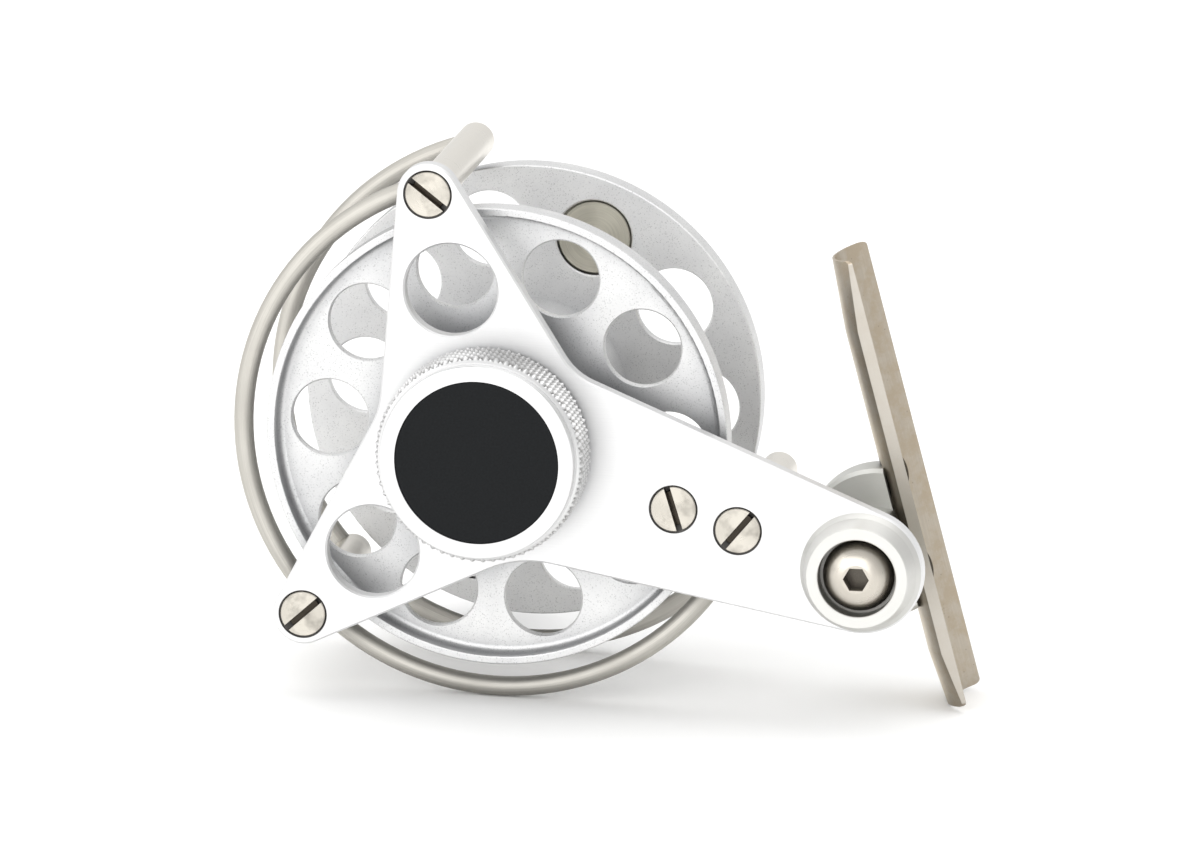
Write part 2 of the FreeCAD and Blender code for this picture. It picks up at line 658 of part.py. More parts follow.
def foot_block(out0, out1, y0, y1, low, high):
    """Box in the foot's own directions."""
    corners = [foot_point(o, y0, t) for o, t in ((out0, low), (out1, low), (out1, high), (out0, high))]
    return Part.Face(Part.makePolygon(corners + corners[:1])).extrude(V(0, y1 - y0, 0))


def foot_taper(end, length):
    """Wedge ground off the back of the foot from one end; its length is signed, inward."""
    back = FOOT_SEAT_DEPTH - FOOT_T
    inward = math.copysign(1, length)
    tip_r = FOOT_BACK_R - FOOT_T + FOOT_TIP_T
    grinder = Part.makeCone(tip_r, FOOT_BACK_R, abs(length),
                            foot_point(ROD_AXIS_OUT, FOOT_Y, end), foot_direction(0, inward))
    low, high = sorted((end - inward, end + length))
    shell = foot_block(back - 1, ROD_AXIS_OUT, FOOT_Y - 9, FOOT_Y + 9, low, high)
    return shell.cut(grinder)


def foot_outline():
    """Block as long and wide as the foot, its four corners rounded."""
    block = foot_block(0, ROD_AXIS_OUT, FOOT_Y - FOOT_HALF_W, FOOT_Y + FOOT_HALF_W,
                       FOOT_LOW, FOOT_HIGH)
    corners = [edge for edge in block.Edges if abs(edge.Length - ROD_AXIS_OUT) < 1e-3]
    return block.makeFillet(FOOT_CORNER_R, corners)


def foot_plate():
    """Curved foot, its hollow side bored from both ends in passes that meet at the pivot."""
    blank = along_rod(FOOT_BACK_R, FOOT_LOW, FOOT_HIGH)
    blank = blank.cut(along_rod(FOOT_SEAT_R, FOOT_LOW - 9, 0))
    blank = blank.cut(along_rod(FOOT_SEAT_R, 0, FOOT_HIGH + 9))
    blank = blank.common(foot_outline())
    blank = blank.cut(foot_taper(FOOT_LOW, FOOT_LOW_TAPER))
    blank = blank.cut(foot_taper(FOOT_HIGH, -FOOT_HIGH_TAPER))
    for place in foot_screw_places():
        blank = blank.cut(foot_screw_hole(place, 0.03))
    return blank


def foot_screw_places():
    return (-FOOT_SCREW_SPACING / 2, FOOT_SCREW_SPACING / 2)


def foot_screw(along):
    """Countersunk screw driven from the rod side into the boss."""
    head = foot_point(FOOT_SEAT_DEPTH - FOOT_SCREW_SUNK, FOOT_Y, along)
    inward = foot_direction(-1, 0)
    cone = Part.makeCone(FOOT_SCREW_HEAD_R, FOOT_SCREW_R, FOOT_SCREW_HEAD_R - FOOT_SCREW_R, head, inward)
    return cone.fuse(Part.makeCylinder(FOOT_SCREW_R, FOOT_SCREW_LENGTH, head, inward))


def foot_screw_hole(along, gap):
    """Hole for one of those screws; its cone opens out above the head."""
    above = FOOT_SINK_R - FOOT_SCREW_HEAD_R
    mouth = foot_point(FOOT_SEAT_DEPTH - FOOT_SCREW_SUNK + above, FOOT_Y, along)
    inward = foot_direction(-1, 0)
    sink = Part.makeCone(FOOT_SINK_R + gap, FOOT_SCREW_R + gap, FOOT_SINK_R - FOOT_SCREW_R, mouth, inward)
    shank = Part.makeCylinder(FOOT_SCREW_R + gap, above + FOOT_SCREW_LENGTH + gap, mouth, inward)
    entry = Part.makeCylinder(FOOT_SINK_R + gap, 3, mouth, foot_direction(1, 0))
    return sink.fuse(shank).fuse(entry)


def foot_screws():
    screws = []
    slot_floor = FOOT_SEAT_DEPTH - FOOT_SCREW_SUNK - 0.65
    for along in foot_screw_places():
        slot = foot_block(slot_floor, 9, FOOT_Y - 0.35, FOOT_Y + 0.35, along - 4, along + 4)
        screws.append(foot_screw(along).cut(slot).removeSplitter())
    return Part.makeCompound(screws)


def foot_boss():
    """Turned neck and disc on the pivot, tapped for its bolt and hollowed to bed the foot."""
    chamfer = 0.5
    boss = turned(BOLT, [(BOLT_R, WASHER_BACK_Y), (NECK_R - chamfer, WASHER_BACK_Y),
                         (NECK_R, WASHER_BACK_Y + chamfer), (NECK_R, BOSS_FRONT_Y),
                         (BOSS_R - chamfer, BOSS_FRONT_Y), (BOSS_R, BOSS_FRONT_Y + chamfer),
                         (BOSS_R, BOSS_STEP_Y), (BOSS_REAR_R, BOSS_STEP_Y),
                         (BOSS_REAR_R, BOSS_BACK_Y - chamfer),
                         (BOSS_REAR_R - chamfer, BOSS_BACK_Y), (0, BOSS_BACK_Y),
                         (0, TAPPED_TO_Y), (BOLT_R, TAPPED_TO_Y)])
    boss = boss.cut(foot_block(BOSS_FLAT, 15, 0, 40, -20, 20))
    boss = boss.cut(along_rod(FOOT_BACK_R, -30, 30))
    for place in foot_screw_places():
        boss = boss.cut(foot_screw_hole(place, 0.02))
    return boss


def foot_washer():
    return tube(BOLT, BOLT_R, 6.4, WASHER_FRONT_Y, WASHER_BACK_Y)


def foot_bolt():
    """Button-head socket screw: the foot's pivot."""
    seat = HEAD_SEAT_Y - 0.04
    top = seat - BOLT_HEAD_H
    rim = V(BOLT.x + BOLT_HEAD_R, seat - BOLT_HEAD_RIM, BOLT.z)
    face = V(BOLT.x + BOLT_FACE_R, top, BOLT.z)
    dome = Part.Arc(rim, V(BOLT.x + 3.75, seat - 2.0, BOLT.z), face)
    corners = [face, V(BOLT.x, top, BOLT.z), V(BOLT.x, BOLT_END_Y, BOLT.z),
               V(BOLT.x + BOLT_R, BOLT_END_Y, BOLT.z), V(BOLT.x + BOLT_R, seat, BOLT.z),
               V(BOLT.x + BOLT_HEAD_R, seat, BOLT.z), rim]
    edges = [Part.makeLine(a, b) for a, b in zip(corners, corners[1:])]
    bolt = Part.Face(Part.Wire(edges + [dome.toShape()])).revolve(BOLT, Y_AXIS, 360)
    socket = hexagon(SOCKET_ACROSS, 1, top - 1, seat - SOCKET_FLOOR)
    socket.translate(V(BOLT.x, 0, BOLT.z))
    return bolt.cut(socket)


# ---------------------------------------------------------------- assembly

def pieces():
    made = {
        "frame_plate": frame_plate(),
        "arm_end_collar": arm_end_collar(),
        "front_line_guard": guard_sweep(FRONT_GUARD_Y, WIRE_R),
        "rear_line_guard": guard_sweep(REAR_GUARD_Y, WIRE_R),
        "pillar_screws": pillar_screws(),
        "pawl_screw": pawl_screw(),
        "pawl_post": pawl_post(),
        "pawl_clip": pawl_clip(),
        "pawl_spring": pawl_spring(),
        "click_pawl": click_pawl(),
        "spindle": spindle(),
        "spindle_nut": spindle_nut(),
        "spool_screw": spool_screw(),
        "knob_screw": knob_screw(),
        "front_flange": front_flange(),
        "rear_flange": rear_flange(),
        "arbor": arbor(),
        "front_bearing": ball_bearing(FRONT_FACE_Y),
        "rear_bearing": ball_bearing(REAR_FACE_Y - BEARING_W),
        "click_gear": click_gear(),
        "brake_disc": brake_disc(),
        "front_flange_screws": flange_screws(BRAKE_FRONT_Y, 1),
        "rear_flange_screws": flange_screws(REAR_FACE_Y + WEB_T, -1),
        "counterweight": counterweight(),
        "handle_boss": handle_boss(),
        "handle_post": handle_post(),
        "handle_screw": handle_screw(),
        "handle_knob": handle_knob(),
        "drag_knob": drag_knob(),
        "knob_inset": knob_inset(),
        "drag_follower": drag_follower(),
        "drag_pins": drag_pins(),
        "pressure_plate": pressure_plate(),
        "cork_ring": cork_ring(),
        "foot_plate": foot_plate(),
        "foot_boss": foot_boss(),
        "foot_washer": foot_washer(),
        "foot_bolt": foot_bolt(),
        "foot_screws": foot_screws(),
    }
    for name, angle in zip(("top_pillar", "lower_pillar", "arm_pillar"), ARMS):
        made[name] = pillar(angle)
    return made


def export():
    """Move the origin to the middle of the reel's underside and write every piece."""
    made = pieces()
    box = FreeCAD.BoundBox()
    for shape in made.values():
        box.add(shape.optimalBoundingBox(False, False))
    shift = V(-box.Center.x, -box.Center.y, -box.ZMin)
    os.makedirs("parts", exist_ok=True)
    for name, shape in made.items():
        shape.translate(shift)
        shape.exportStep("parts/" + name + ".step")
    print("shift", round(shift.x, 4), round(shift.y, 4), round(shift.z, 4))
    print("size", round(box.XLength, 2), round(box.YLength, 2), round(box.ZLength, 2))


export()
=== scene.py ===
"""Looks of the fly reel: procedural metals, a real diamond knurl on the drag knob, and a plain
white studio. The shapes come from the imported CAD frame. Lengths are in metres, apart from the
drag knob's figures, which are in millimetres.
"""

import json
import math

import bmesh
import bpy
from mathutils import Matrix, Vector


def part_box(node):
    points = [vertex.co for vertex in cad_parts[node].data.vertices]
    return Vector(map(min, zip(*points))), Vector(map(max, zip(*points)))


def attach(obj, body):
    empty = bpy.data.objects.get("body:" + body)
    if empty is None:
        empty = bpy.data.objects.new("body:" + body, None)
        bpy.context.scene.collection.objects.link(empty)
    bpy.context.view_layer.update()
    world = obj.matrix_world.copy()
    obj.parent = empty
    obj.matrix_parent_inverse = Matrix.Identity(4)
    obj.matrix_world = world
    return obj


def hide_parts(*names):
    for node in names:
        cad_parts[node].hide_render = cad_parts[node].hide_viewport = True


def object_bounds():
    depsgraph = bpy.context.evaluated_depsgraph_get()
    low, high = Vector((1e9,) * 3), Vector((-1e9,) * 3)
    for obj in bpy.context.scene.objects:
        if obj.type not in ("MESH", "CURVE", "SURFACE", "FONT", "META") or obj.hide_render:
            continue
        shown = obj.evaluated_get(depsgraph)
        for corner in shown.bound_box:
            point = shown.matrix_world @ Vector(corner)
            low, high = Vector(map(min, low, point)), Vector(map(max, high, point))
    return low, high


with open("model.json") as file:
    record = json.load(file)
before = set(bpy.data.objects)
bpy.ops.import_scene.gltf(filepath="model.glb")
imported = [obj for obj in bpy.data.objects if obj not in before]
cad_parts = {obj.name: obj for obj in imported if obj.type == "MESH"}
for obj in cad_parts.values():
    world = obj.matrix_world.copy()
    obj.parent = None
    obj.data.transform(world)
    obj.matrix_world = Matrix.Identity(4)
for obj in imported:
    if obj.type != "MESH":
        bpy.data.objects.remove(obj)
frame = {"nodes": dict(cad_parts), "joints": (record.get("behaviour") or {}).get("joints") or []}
cad_low, cad_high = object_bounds()


# ---------------------------------------------------------------- places and sizes

MM = 0.001
JOINT_AT = {j["name"]: Vector(j["pos_m"]) for j in frame["joints"] if j.get("pos_m")}
PLATE_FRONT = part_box("frame_plate")[0].y
AXIS = JOINT_AT["spool_spin"]                       # a point on the spool's axis
ON_AXIS = Vector((AXIS.x, 0, AXIS.z))
ON_FRONT = Vector((AXIS.x, PLATE_FRONT, AXIS.z))
PIVOT = JOINT_AT["foot_swivel"]                     # a point on the foot bolt's axis
PIVOT_FRONT = Vector((PIVOT.x, PLATE_FRONT, PIVOT.z))

# Bands in which shade and dark reflections are painted on the screws and the cup, by radius or by
# the distance behind the plate's front face
SCREW_GAP_R = (3.22 * MM, 3.33 * MM)
SLOT_DEPTH = (0.15 * MM, 0.85 * MM)
BOLT_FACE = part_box("foot_bolt")[0].y - PLATE_FRONT
BOLT_HEXAGON_R = (1.72 * MM, 1.86 * MM)
BOLT_HEXAGON_DEPTH = (0.1 * MM, 0.9 * MM)           # from the face of the bolt's head
BOLT_DOME_R = (2.9 * MM, 4.7 * MM)
BOLT_DOME_BACK = (-1.60 * MM, -1.50 * MM)
CUP_R = (5.26 * MM, 5.40 * MM)
CUP_WALL = (-3.3 * MM, -2.3 * MM)
COLLAR_CONE_R = (6.72 * MM, 6.82 * MM)

# The walls inside the spool's rims, and the planes that bound its two outer sides
RIM_WALL_FOOT_R = (29.4 * MM, 29.8 * MM)
RIM_WALL_TOP_R = (29.93 * MM, 29.98 * MM)
FRONT_OUTER_SIDE = (7.70 * MM, 7.76 * MM)
REAR_OUTER_SIDE = (33.54 * MM, 33.60 * MM)

# The foot: a gutter round the rod's axis, tilted from the vertical
FOOT_TILT = math.radians(15.8)
FOOT_OUT = Vector((math.cos(FOOT_TILT), 0, math.sin(FOOT_TILT)))
FOOT_ALONG = Vector((-math.sin(FOOT_TILT), 0, math.cos(FOOT_TILT)))
FOOT_SCREW_SPACING = 13.4 * MM
FOOT_SINK_R = (4.28 * MM, 4.38 * MM)
ROD_AXIS_OUT = 10.65 * MM                           # from the pivot to the rod's axis
FOOT_BACK_R = (7.85 * MM, 8.25 * MM)
# Across the foot's back: a band where a highlight is painted, and edges where dark reflections are painted
FOOT_HIGHLIGHT_BAND = (3.4 * MM, 4.6 * MM)                  # this and the next two from the middle line
FOOT_DARK_EDGE = (4.4 * MM, 6.0 * MM)
FOOT_CUT = (6.215 * MM, 6.235 * MM)

# Depths of the finest relief on the metals
FINE = 0.04 * MM
FINER = 0.03 * MM


def middle(node):
    low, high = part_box(node)
    return (low + high) / 2


def screw_centres():
    """Points where the axes of the plate's four screws meet its front face."""
    middles = [middle(node) for node in ("top_pillar", "lower_pillar", "arm_pillar", "pawl_screw")]
    return [Vector((m.x, PLATE_FRONT, m.z)) for m in middles]


def foot_sinks():
    """Points on the axes of the foot's two screws."""
    centre = middle("foot_screws")
    return [centre + FOOT_ALONG * (FOOT_SCREW_SPACING * side / 2) for side in (-1, 1)]


# ---------------------------------------------------------------- colours

ALUMINIUM = (0.76, 0.76, 0.76)
PLATE_BRIGHT = (0.79, 0.79, 0.79)
PLATE_DULL = (0.75, 0.75, 0.752)
PLATE_SHADE = (0.30, 0.31, 0.33)
FLANGE_BRIGHT = (0.75, 0.75, 0.745)
FLANGE_DULL = (0.67, 0.67, 0.672)
FLANGE_GRAIN = (0.40, 0.40, 0.41)
FLANGE_FINE_SPECK = (0.20, 0.20, 0.20)
FLANGE_SPECK = (0.15, 0.15, 0.15)
FLANGE_SHADE = (0.17, 0.18, 0.20)
RIM_WALL_SHADE = (0.12, 0.125, 0.15)
COLLAR = (0.695, 0.69, 0.665)
BOSS = (0.64, 0.64, 0.61)
GUARD = (0.585, 0.565, 0.52)
PILLAR = (0.80, 0.77, 0.71)
SCREW = (0.78, 0.73, 0.64)
BOLT_STEEL = (0.61, 0.57, 0.505)
PLATE_SCREW = (0.625, 0.59, 0.525)
FOOT = (0.53, 0.475, 0.395)
FOOT_CUT_FACE = (0.50, 0.475, 0.435)
WEIGHT = (0.575, 0.55, 0.465)
BRASS = (0.72, 0.52, 0.22)
SPRING = (0.55, 0.55, 0.57)
BEARING = (0.72, 0.72, 0.74)
BLACK = (0.0075, 0.0085, 0.0095)
CORK = (0.45, 0.27, 0.12)
NYLON = (0.75, 0.73, 0.66)
PAPER = (0.985, 0.985, 0.98)
# Near black, laid on as painted shade in recesses, slots, grooves and gaps, and as painted dark reflections
# on screw and bolt heads
DARK_PAINTED_SHADE = (0.045, 0.038, 0.030)


def shade(colour, factor):
    return tuple(c * factor for c in colour)


# ---------------------------------------------------------------- node helpers

class Nodes:
    """A material's node tree, with short calls to add and join nodes."""

    def __init__(self, name):
        self.material = bpy.data.materials.new(name)
        self.material.use_nodes = True
        self.tree = self.material.node_tree
        self.shader = next(n for n in self.tree.nodes if n.type == "BSDF_PRINCIPLED")
        self.coords = self.add("ShaderNodeTexCoord").outputs["Object"]
        self.bumps = None

    def add(self, kind, **settings):
        node = self.tree.nodes.new(kind)
        for key, value in settings.items():
            setattr(node, key, value)
        return node

    def join(self, source, target):
        """Feed a socket from another socket, or set it to a plain value."""
        if isinstance(source, bpy.types.NodeSocket):
            self.tree.links.new(source, target)
        else:
            target.default_value = source

    def paint(self, source, target):
        """Join, for a colour socket: a plain colour gets its alpha."""
        self.join((*source, 1.0) if isinstance(source, tuple) else source, target)

    def math(self, operation, *values):
        node = self.add("ShaderNodeMath", operation=operation)
        for value, socket in zip(values, node.inputs):
            self.join(value, socket)
        return node.outputs[0]

    def times(self, a, b):
        return self.math("MULTIPLY", a, b)

    def plus(self, a, b):
        return self.math("ADD", a, b)

    def either(self, a, b):
        return self.math("MAXIMUM", a, b)

    def ramp(self, value, low, high, out_low=0.0, out_high=1.0):
        """Straight line from (low, out_low) to (high, out_high), level beyond its ends."""
        node = self.add("ShaderNodeMapRange", clamp=True)
        self.join(value, node.inputs["Value"])
        ends = {"From Min": low, "From Max": high, "To Min": out_low, "To Max": out_high}
        for key, number in ends.items():
            node.inputs[key].default_value = number
        return node.outputs["Result"]

    def above(self, value, span, most=1.0):
        """0 below a span of values, most above it."""
        return self.ramp(value, span[0], span[1], 0.0, most)

    def below(self, value, span, most=1.0):
        """most below a span of values, 0 above it."""
        return self.ramp(value, span[1], span[0], 0.0, most)

    def vary(self, noise, low=0.0, high=1.0):
        """Bring a noise's usual spread, 0.3 to 0.7, to low to high."""
        return self.ramp(noise, 0.3, 0.7, low, high)

    def vector(self, x, y, z):
        node = self.add("ShaderNodeCombineXYZ")
        for value, socket in zip((x, y, z), node.inputs):
            self.join(value, socket)
        return node.outputs[0]

    def split(self, vector):
        node = self.add("ShaderNodeSeparateXYZ")
        self.join(vector, node.inputs[0])
        return node.outputs

    def length(self, vector):
        node = self.add("ShaderNodeVectorMath", operation="LENGTH")
        self.join(vector, node.inputs[0])
        return node.outputs["Value"]

    def place(self, offset=(0, 0, 0), scale=(1, 1, 1), turn=(0, 0, 0)):
        """Coordinates in a system with its own origin, turn and unit lengths."""
        node = self.add("ShaderNodeMapping", vector_type="TEXTURE")
        node.inputs["Location"].default_value = offset
        node.inputs["Rotation"].default_value = turn
        node.inputs["Scale"].default_value = scale
        self.join(self.coords, node.inputs["Vector"])
        return node.outputs[0]

    def from_nearest(self, places):
        """Vector from the nearest of several points."""
        best, *others = [self.place(offset=place) for place in places]
        for local in others:
            pick = self.add("ShaderNodeMix", data_type="VECTOR")
            closer = self.math("LESS_THAN", self.length(local), self.length(best))
            self.join(closer, pick.inputs["Factor"])
            self.join(best, pick.inputs[4])
            self.join(local, pick.inputs[5])
            best = pick.outputs[1]
        return best

    def round_about(self, local):
        """(radius, distance along Y, angle) of a vector about the Y axis."""
        x, y, z = self.split(local)
        square = self.plus(self.times(x, x), self.times(z, z))
        return self.math("SQRT", square), y, self.math("ARCTAN2", z, x)

    def axis_distance(self, places, axis):
        """Distance to the nearest of several parallel axes."""
        least = None
        for place in places:
            across = self.add("ShaderNodeVectorMath", operation="CROSS_PRODUCT")
            self.join(self.place(offset=place), across.inputs[0])
            across.inputs[1].default_value = axis
            distance = self.length(across.outputs[0])
            least = distance if least is None else self.math("MINIMUM", least, distance)
        return least

    def noise(self, vector, scale, detail=2.0, roughness=0.5):
        """Cloudy noise with about scale features to a unit of the vector."""
        node = self.add("ShaderNodeTexNoise")
        node.inputs["Scale"].default_value = scale
        node.inputs["Detail"].default_value = detail
        node.inputs["Roughness"].default_value = roughness
        self.join(vector, node.inputs["Vector"])
        return node.outputs["Fac"]

    def cells(self, scale):
        """Distance from the middle of the nearest of scattered cells, about scale to a metre."""
        node = self.add("ShaderNodeTexVoronoi", feature="F1")
        node.inputs["Scale"].default_value = scale
        self.join(self.coords, node.inputs["Vector"])
        return node.outputs["Distance"]

    def specks(self, scale, size, patches, span):
        """1 in small spots, 0 elsewhere; a coarser noise keeps them to some patches."""
        spots = self.ramp(self.cells(scale), size, size * 0.4)
        return self.times(spots, self.above(self.noise(self.coords, patches, 1.0), span))

    def crevice(self, distance):
        """1 deep in a crevice, 0 in the open: the mask for painting shade into crevices."""
        node = self.add("ShaderNodeAmbientOcclusion", samples=12)
        node.inputs["Distance"].default_value = distance
        return self.ramp(node.outputs["AO"], 0.85, 0.25)

    def blend(self, amount, colour_a, colour_b):
        node = self.add("ShaderNodeMix", data_type="RGBA")
        self.join(amount, node.inputs["Factor"])
        self.paint(colour_a, node.inputs[6])
        self.paint(colour_b, node.inputs[7])
        return node.outputs[2]

    def bump(self, height, strength, distance):
        """Add relief on top of what is there already."""
        node = self.add("ShaderNodeBump")
        node.inputs["Strength"].default_value = strength
        node.inputs["Distance"].default_value = distance
        self.join(height, node.inputs["Height"])
        if self.bumps is not None:
            self.join(self.bumps, node.inputs["Normal"])
        self.bumps = node.outputs[0]

    def spread_outward(self, local, amount):
        """Draw the highlights out along the radius from the Y axis, as fine turned rings do."""
        x, y, z = self.split(local)
        turned = self.add("ShaderNodeVectorTransform", vector_type="VECTOR",
                          convert_from="OBJECT", convert_to="WORLD")
        self.join(self.vector(x, 0.0, z), turned.inputs[0])
        self.join(turned.outputs[0], self.shader.inputs["Tangent"])
        self.shader.inputs["Anisotropic"].default_value = amount

    def finish(self, colour, roughness, metallic=1.0, specular=0.5):
        self.paint(colour, self.shader.inputs["Base Color"])
        self.join(roughness, self.shader.inputs["Roughness"])
        self.shader.inputs["Metallic"].default_value = metallic
        self.shader.inputs["Specular IOR Level"].default_value = specular
        if self.bumps is not None:
            self.join(self.bumps, self.shader.inputs["Normal"])
        return self.material


# ---------------------------------------------------------------- materials

def tool_lines(n, polar, fineness, turns, roughness=0.6):
    """Noise drawn out round an axis: fineness lines to a metre, turns features to a radian."""
    radius, along, angle = polar
    drawn = n.vector(n.times(radius, fineness), n.times(along, fineness), n.times(angle, turns))
    return n.noise(drawn, 1.0, 2.0, roughness)


def brushed_plate(name):
    """Satin aluminium sheet, finely brushed straight, painted shade in crevices and round screws."""
    n = Nodes(name)
    lines = n.noise(n.place(scale=(12 * MM, 0.25 * MM, 0.11 * MM)), 1.0, 3.0, 0.6)
    soft = n.noise(n.coords, 60.0)
    n.bump(lines, 0.08, FINE)
    n.bump(n.noise(n.coords, 5200.0), 0.12, FINER)
    colour = n.blend(n.vary(lines), PLATE_DULL, PLATE_BRIGHT)
    # Painted shade in the plate's crevices
    colour = n.blend(n.times(n.crevice(2.0 * MM), 0.36), colour, PLATE_SHADE)
    # Painted shade in the gap round each screw's head
    gap = n.axis_distance(screw_centres(), (0, 1, 0))
    colour = n.blend(n.below(gap, SCREW_GAP_R, 0.85), colour, DARK_PAINTED_SHADE)
    return n.finish(colour, n.plus(n.vary(lines, 0.44, 0.52), n.vary(soft, -0.03, 0.03)))


def rim_walls(n):
    """1 on the walls inside the two rims, on the spool's outer sides only, for painted shade."""
    radius, along, _ = n.round_about(n.place(offset=ON_FRONT))
    wall = n.times(n.above(radius, RIM_WALL_FOOT_R), n.below(radius, RIM_WALL_TOP_R))
    outer_side = n.either(n.below(along, FRONT_OUTER_SIDE), n.above(along, REAR_OUTER_SIDE))
    return n.times(wall, outer_side)


def blasted(name):
    """Bead-blasted, clear-anodised aluminium with a scatter of fine dark specks."""
    n = Nodes(name)
    grain = n.noise(n.coords, 3600.0, 3.0, 0.65)
    cloud = n.noise(n.coords, 130.0, 3.0, 0.6)
    fine = n.specks(3600.0, 0.30, 900.0, (0.36, 0.48))
    coarse = n.specks(2000.0, 0.22, 480.0, (0.52, 0.62))
    n.bump(grain, 0.30, FINE)
    colour = n.blend(n.above(cloud, (0.35, 0.70)), FLANGE_DULL, FLANGE_BRIGHT)
    colour = n.blend(n.below(grain, (0.24, 0.42), 0.55), colour, FLANGE_GRAIN)
    colour = n.blend(n.times(fine, 0.50), colour, FLANGE_FINE_SPECK)
    colour = n.blend(n.times(coarse, 0.45), colour, FLANGE_SPECK)
    # Painted shade in the flanges' crevices
    colour = n.blend(n.times(n.crevice(9.0 * MM), 0.62), colour, FLANGE_SHADE)
    # Painted shade on the walls inside the rims
    colour = n.blend(n.times(rim_walls(n), 0.28), colour, RIM_WALL_SHADE)
    return n.finish(colour, n.vary(grain, 0.54, 0.44))


def turned_metal(name, colour, centres, roughness=0.28, groove=0.10, contrast=0.05, crevice_shade=0.55,
                 painted_shade_share=None, spread=0.0):
    """Metal turned on a lathe: fine concentric tool lines on faces and round the sides.

    contrast is that of the lines, the next argument the strength of the shade painted into the
    crevices, and spread how far the highlights are drawn out along the radius. The function after
    that, called with (n, radius, along), may give the share, 0 to 1, of dark painted shade by place.
    """
    n = Nodes(name)
    local = n.from_nearest(centres)
    radius, along, angle = n.round_about(local)
    rings = tool_lines(n, (radius, along, angle), 9000.0, 0.6)
    soft = n.noise(n.coords, 220.0)
    if spread:
        n.spread_outward(local, spread)
    n.bump(rings, groove, FINE)
    tone = n.blend(n.vary(rings), shade(colour, 1 - contrast), colour)
    tone = n.blend(n.above(soft, (0.35, 0.75), 0.4), tone, shade(colour, 0.93))
    # Painted shade in the crevices
    tone = n.blend(n.times(n.crevice(6.0 * MM), crevice_shade), tone, shade(colour, 0.35))
    # Dark painted shade where the given function puts it
    if painted_shade_share:
        tone = n.blend(painted_shade_share(n, radius, along), tone, DARK_PAINTED_SHADE)
    return n.finish(tone, n.plus(n.vary(rings, roughness - 0.04, roughness + 0.05),
                                 n.vary(soft, -0.03, 0.03)))


def deep_slot(n, radius, along):
    """Painted shade in the driver slots of the plate's flush screws, painted dark reflection in patches."""
    # Patches of painted dark reflection on the heads, and painted shade deeper in the slots
    dark_reflection_patch = n.above(n.noise(n.coords, 330.0, 3.0, 0.6), (0.48, 0.74), 0.50)
    return n.either(n.above(along, SLOT_DEPTH, 0.99), dark_reflection_patch)


def bolt_painted_shade(n, radius, along):
    """Painted shade in the bolt's hexagon, painted dark reflection round its domed head's low edge."""
    depth = n.math("SUBTRACT", along, BOLT_FACE)
    inside = n.times(n.below(radius, BOLT_HEXAGON_R), n.above(depth, BOLT_HEXAGON_DEPTH, 0.88))
    edge = n.times(n.above(radius, BOLT_DOME_R, 0.50), n.below(along, BOLT_DOME_BACK))
    return n.either(inside, edge)


def cup_painted_shade(n, radius, along):
    """Painted shade on the inner wall of the cup round the bolt's head, and a trace outside its face."""
    wall = n.times(n.below(radius, CUP_R), n.ramp(along, *CUP_WALL, 0.10, 0.50))
    return n.either(wall, n.above(radius, COLLAR_CONE_R, 0.09))


def drawn_wire(name, colour, roughness=0.50):
    """Round wire bent round the spool: drawing lines along it, and slight cloudy wear."""
    n = Nodes(name)
    lines = tool_lines(n, n.round_about(n.place(offset=ON_AXIS)), 6500.0, 3.0)
    cloud = n.noise(n.coords, 160.0, 3.0)
    n.bump(lines, 0.25, FINE)
    tone = n.blend(n.vary(lines), shade(colour, 0.78), colour)
    tone = n.blend(n.above(cloud, (0.4, 0.75), 0.45), tone, shade(colour, 0.82))
    # Painted shade in the wire's crevices
    tone = n.blend(n.times(n.crevice(8.0 * MM), 0.60), tone, shade(colour, 0.30))
    return n.finish(tone, n.plus(n.vary(lines, roughness - 0.03, roughness + 0.06),
                                 n.vary(cloud, -0.03, 0.04)))


def foot_parts(n):
    """Shares of the foot: its back's painted highlight and dark reflections, and its cut faces."""
    centre = PIVOT + FOOT_OUT * ROD_AXIS_OUT
    centre.y = middle("foot_plate").y
    across = n.split(n.coords)[1]
    aside = n.math("ABSOLUTE", n.math("SUBTRACT", across, centre.y))
    back = n.above(n.axis_distance([centre], FOOT_ALONG), FOOT_BACK_R)
    edges = n.times(n.above(aside, FOOT_DARK_EDGE), n.below(aside, FOOT_CUT))
    return n.times(n.below(aside, FOOT_HIGHLIGHT_BAND), back), n.times(edges, back), n.above(aside, FOOT_CUT)


